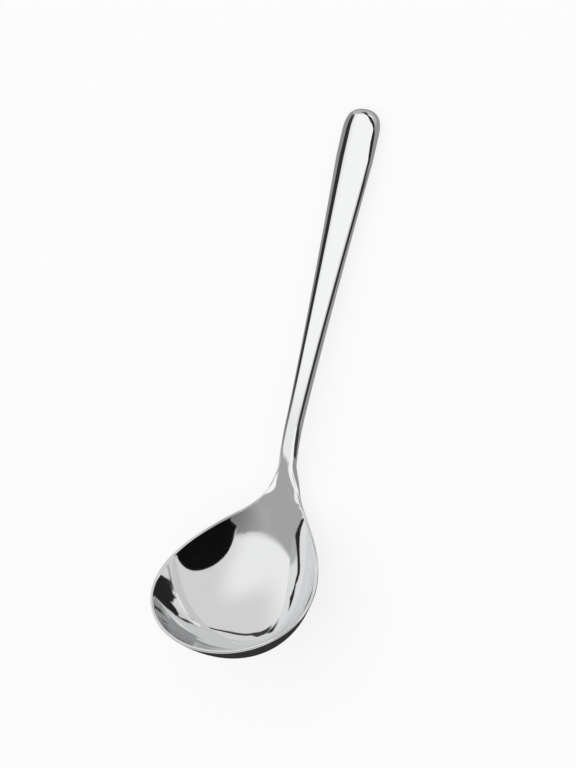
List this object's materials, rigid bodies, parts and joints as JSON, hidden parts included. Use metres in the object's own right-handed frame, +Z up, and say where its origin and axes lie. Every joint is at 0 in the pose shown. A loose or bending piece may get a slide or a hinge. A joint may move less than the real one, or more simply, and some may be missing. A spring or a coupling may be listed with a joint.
{
  "type": "sauce ladle",
  "caption": "Polished steel sauce ladle: a pear-shaped deep bowl, a steep forged neck and a flat tapering hollow handle with a rounded end.",
  "frame": {"origin": "on the table under the middle of the bounding box, with the ladle lying on its bowl and on the underside of the handle's end", "axes": "+X from the bowl to the handle's end, +Z up from the table, and Y across the ladle, which is symmetric about y = 0"},
  "size_m": [0.1934, 0.0592, 0.0417],
  "materials": {
    "polished_steel": "mirror-polished stainless steel",
    "weld_steel": "weld ground flush and polished with the handle",
    "filler": "hardened grey cement, hidden inside the handle"
  },
  "bodies": {
    "root": {"bowl": "polished_steel", "handle_front": "polished_steel", "handle_back": "polished_steel", "seam_weld": "weld_steel", "neck_weld": "weld_steel", "tang_cement": "filler"}
  },
  "joints": []
}
